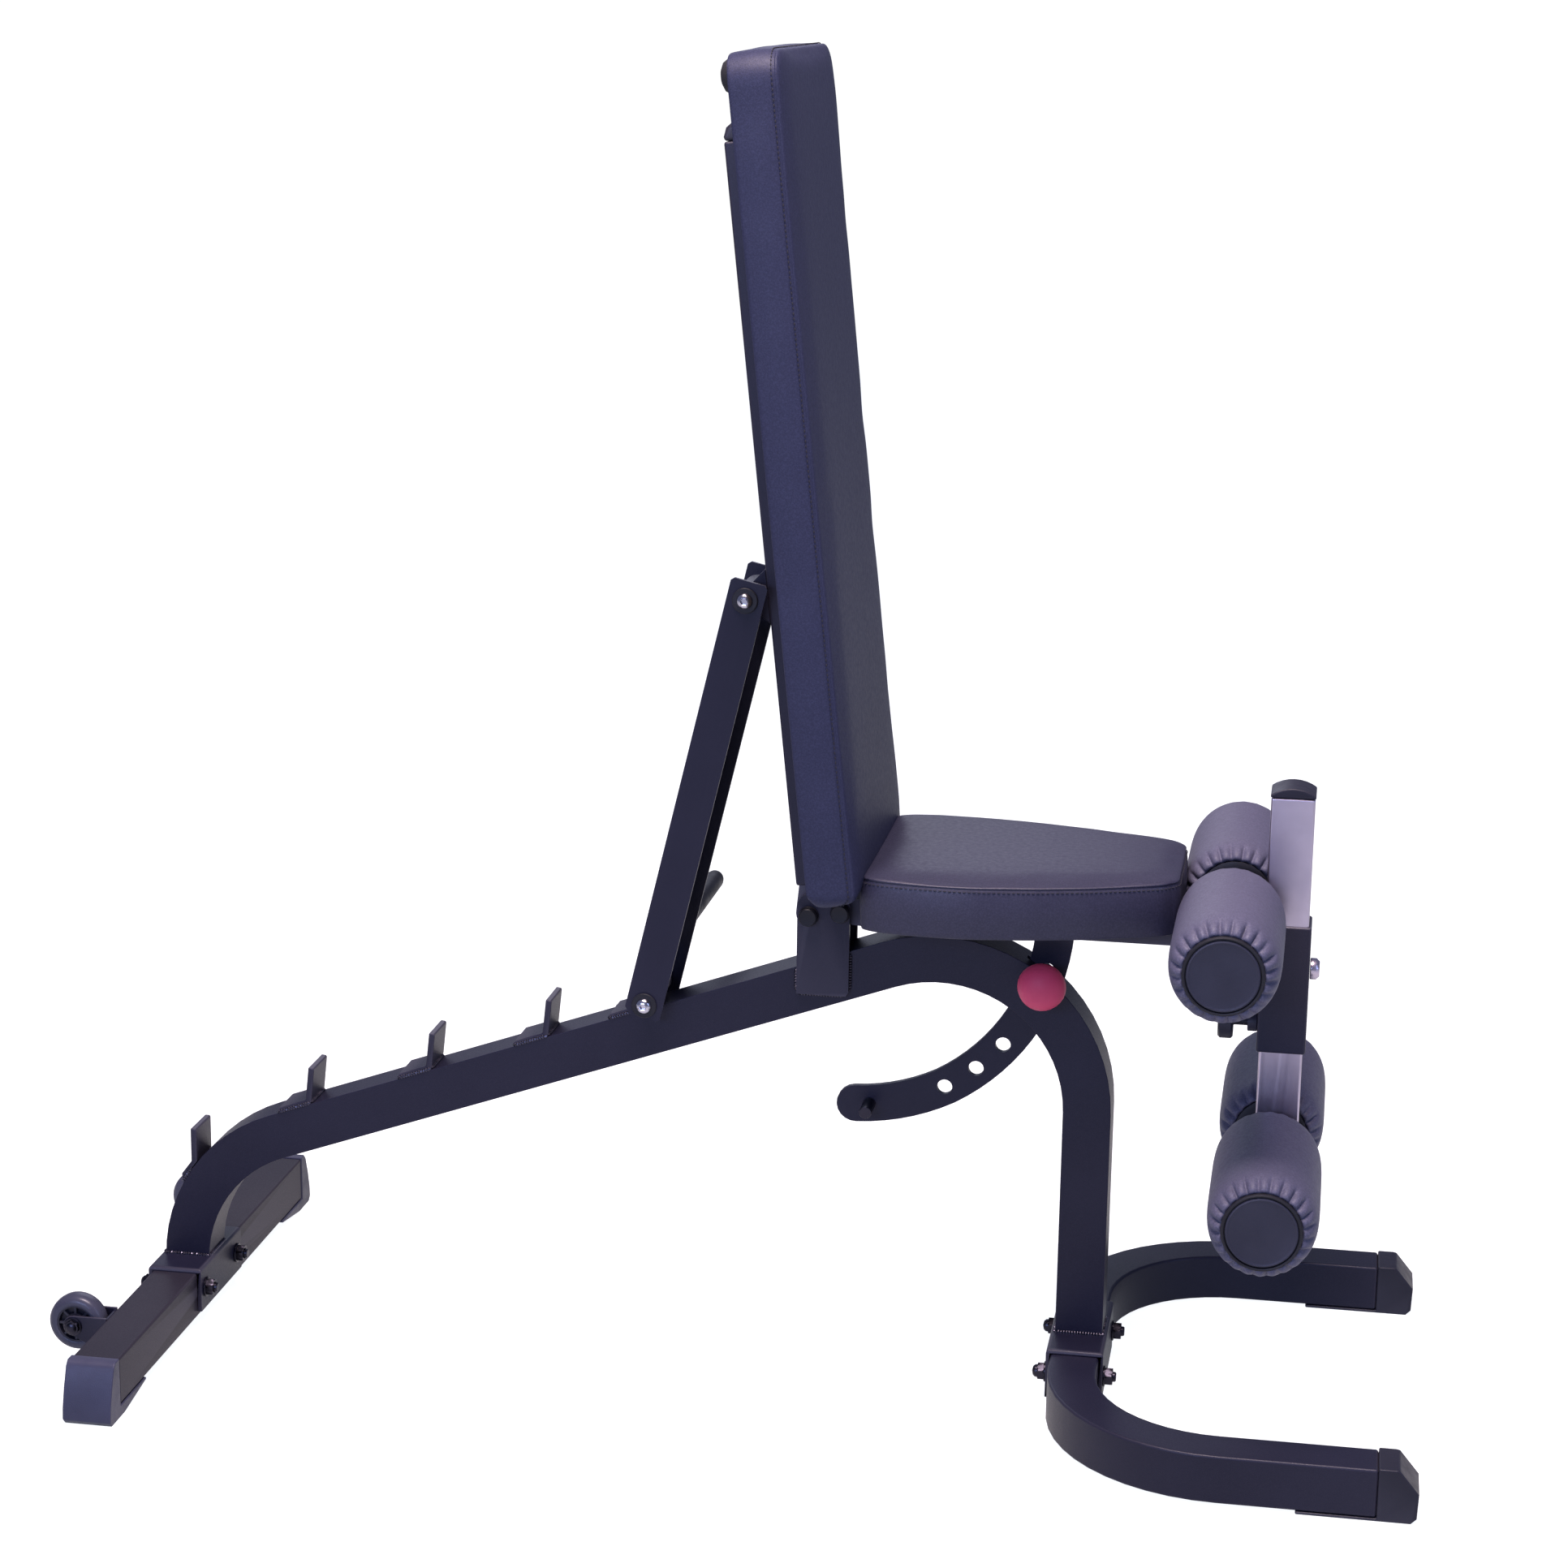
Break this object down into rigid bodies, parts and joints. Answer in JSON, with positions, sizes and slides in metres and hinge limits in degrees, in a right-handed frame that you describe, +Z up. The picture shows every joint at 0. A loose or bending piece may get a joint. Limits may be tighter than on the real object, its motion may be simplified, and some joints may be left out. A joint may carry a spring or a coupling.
{
  "type": "adjustable weight bench",
  "caption": "Adjustable weight bench: reclining back held by a strut on a ladder of catches, tilting seat on an arc plate, and a leg hold-down with foam rollers on an adjustable post.",
  "frame": {"origin": "centre of the footprint, on the floor", "axes": "+X from the transport wheels towards the leg hold-down, +Z up, +Y to the side with the lift handle"},
  "size_m": [1.2876, 0.598, 1.2443],
  "materials": {
    "frame_black": "black powder coat with a fine texture",
    "chrome": "satin chrome plate",
    "steel": "bright zinc-plated steel",
    "black_plastic": "moulded black plastic",
    "red_plastic": "moulded red plastic, slightly soft",
    "vinyl": "dark grey-blue vinyl with a fine grain over foam",
    "wood": "plywood",
    "rubber": "black rubber",
    "tyre": "glossy polyurethane"
  },
  "bodies": {
    "frame": {"main_rail": "frame_black", "front_foot_tube": "frame_black", "rear_cross_tube": "frame_black", "front_saddle": "frame_black", "rear_saddle": "frame_black", "front_bolt_near": "steel", "front_bolt_far": "steel", "rear_bolt_near": "steel", "rear_bolt_far": "steel", "front_cap_near": "black_plastic", "front_cap_far": "black_plastic", "rear_cap_near": "black_plastic", "rear_cap_far": "black_plastic", "wheel_fork_near": "frame_black", "wheel_fork_far": "frame_black", "wheel_axle_near": "steel", "wheel_axle_far": "steel", "catch_1": "frame_black", "catch_2": "frame_black", "catch_3": "frame_black", "catch_4": "frame_black", "catch_5": "frame_black", "pivot_plate_near": "frame_black", "pivot_plate_far": "frame_black", "back_pivot_bolt": "black_plastic", "seat_pivot_bolt": "black_plastic", "seat_pin_bracket": "frame_black"},
    "backrest": {"back_frame_tube": "frame_black", "back_tube_cap": "black_plastic", "strut_lug": "frame_black", "back_board": "wood", "back_pad": "vinyl", "back_bumper_near": "rubber", "back_bumper_far": "rubber"},
    "strut": {"strut_channel": "frame_black", "strut_upper_bolt": "steel", "strut_pin_near": "steel", "strut_pin_far": "steel", "lift_handle": "black_plastic"},
    "seat": {"seat_frame_tube": "frame_black", "seat_board": "wood", "seat_pad": "vinyl", "seat_arc_plate": "frame_black", "seat_stop_stud": "steel", "leg_sleeve": "frame_black", "leg_clamp_screw": "chrome", "leg_pin_housing": "frame_black", "upper_axle": "frame_black"},
    "leg": {"leg_tube": "chrome", "leg_tube_cap": "black_plastic", "lower_axle": "frame_black"},
    "seat_pull_pin": {"seat_pin": "steel", "seat_pin_knob": "red_plastic"},
    "leg_pull_pin": {"leg_pin": "black_plastic"},
    "roller_upper_near": {"upper_roller_near": "vinyl"},
    "roller_upper_far": {"upper_roller_far": "vinyl"},
    "roller_lower_near": {"lower_roller_near": "vinyl"},
    "roller_lower_far": {"lower_roller_far": "vinyl"},
    "castor_near": {"wheel_near": "tyre"},
    "castor_far": {"wheel_far": "tyre"}
  },
  "joints": [
    {"name": "back_recline", "type": "hinge", "parent": "frame", "child": "backrest", "pos_m": [0.06075, 0, 0.451], "axis": [0, -1, 0], "range_deg": [0, 77]},
    {"name": "strut_swing", "type": "hinge", "parent": "backrest", "child": "strut", "pos_m": [0.00005, 0, 0.7504], "axis": [0, 1, 0], "range_deg": [0, 110.5]},
    {"name": "seat_tilt", "type": "hinge", "parent": "frame", "child": "seat", "pos_m": [0.09075, 0, 0.456], "axis": [0, -1, 0], "range_deg": [0, 24.7]},
    {"name": "leg_height", "type": "slide", "parent": "seat", "child": "leg", "axis": [0, 0, 1], "range_m": [-0.1, 0.05]},
    {"name": "roller_upper_near_spin", "type": "hinge", "parent": "seat", "child": "roller_upper_near", "pos_m": [0.45275, -0.126, 0.4775], "axis": [0, 1, 0], "continuous": true},
    {"name": "roller_upper_far_spin", "type": "hinge", "parent": "seat", "child": "roller_upper_far", "pos_m": [0.45275, 0.126, 0.4775], "axis": [0, 1, 0], "continuous": true},
    {"name": "roller_lower_near_spin", "type": "hinge", "parent": "leg", "child": "roller_lower_near", "pos_m": [0.49625, -0.126, 0.2475], "axis": [0, 1, 0], "continuous": true},
    {"name": "roller_lower_far_spin", "type": "hinge", "parent": "leg", "child": "roller_lower_far", "pos_m": [0.49625, 0.126, 0.2475], "axis": [0, 1, 0], "continuous": true},
    {"name": "wheel_near_spin", "type": "hinge", "parent": "frame", "child": "castor_near", "pos_m": [-0.61625, -0.17, 0.047], "axis": [0, 1, 0], "continuous": true},
    {"name": "wheel_far_spin", "type": "hinge", "parent": "frame", "child": "castor_far", "pos_m": [-0.61625, 0.17, 0.047], "axis": [0, 1, 0], "continuous": true},
    {"name": "seat_pin_pull", "type": "slide", "parent": "frame", "child": "seat_pull_pin", "axis": [0, -1, 0], "range_m": [0, 0.012], "stiffness_N_per_m": 600, "springref_m": -0.01},
    {"name": "leg_pin_pull", "type": "slide", "parent": "seat", "child": "leg_pull_pin", "axis": [-1, 0, 0], "range_m": [0, 0.012], "stiffness_N_per_m": 600, "springref_m": -0.01}
  ],
  "couplings": [
    {"joint": "strut_swing", "follows": "back_recline", "ratio": 1.4345}
  ]
}
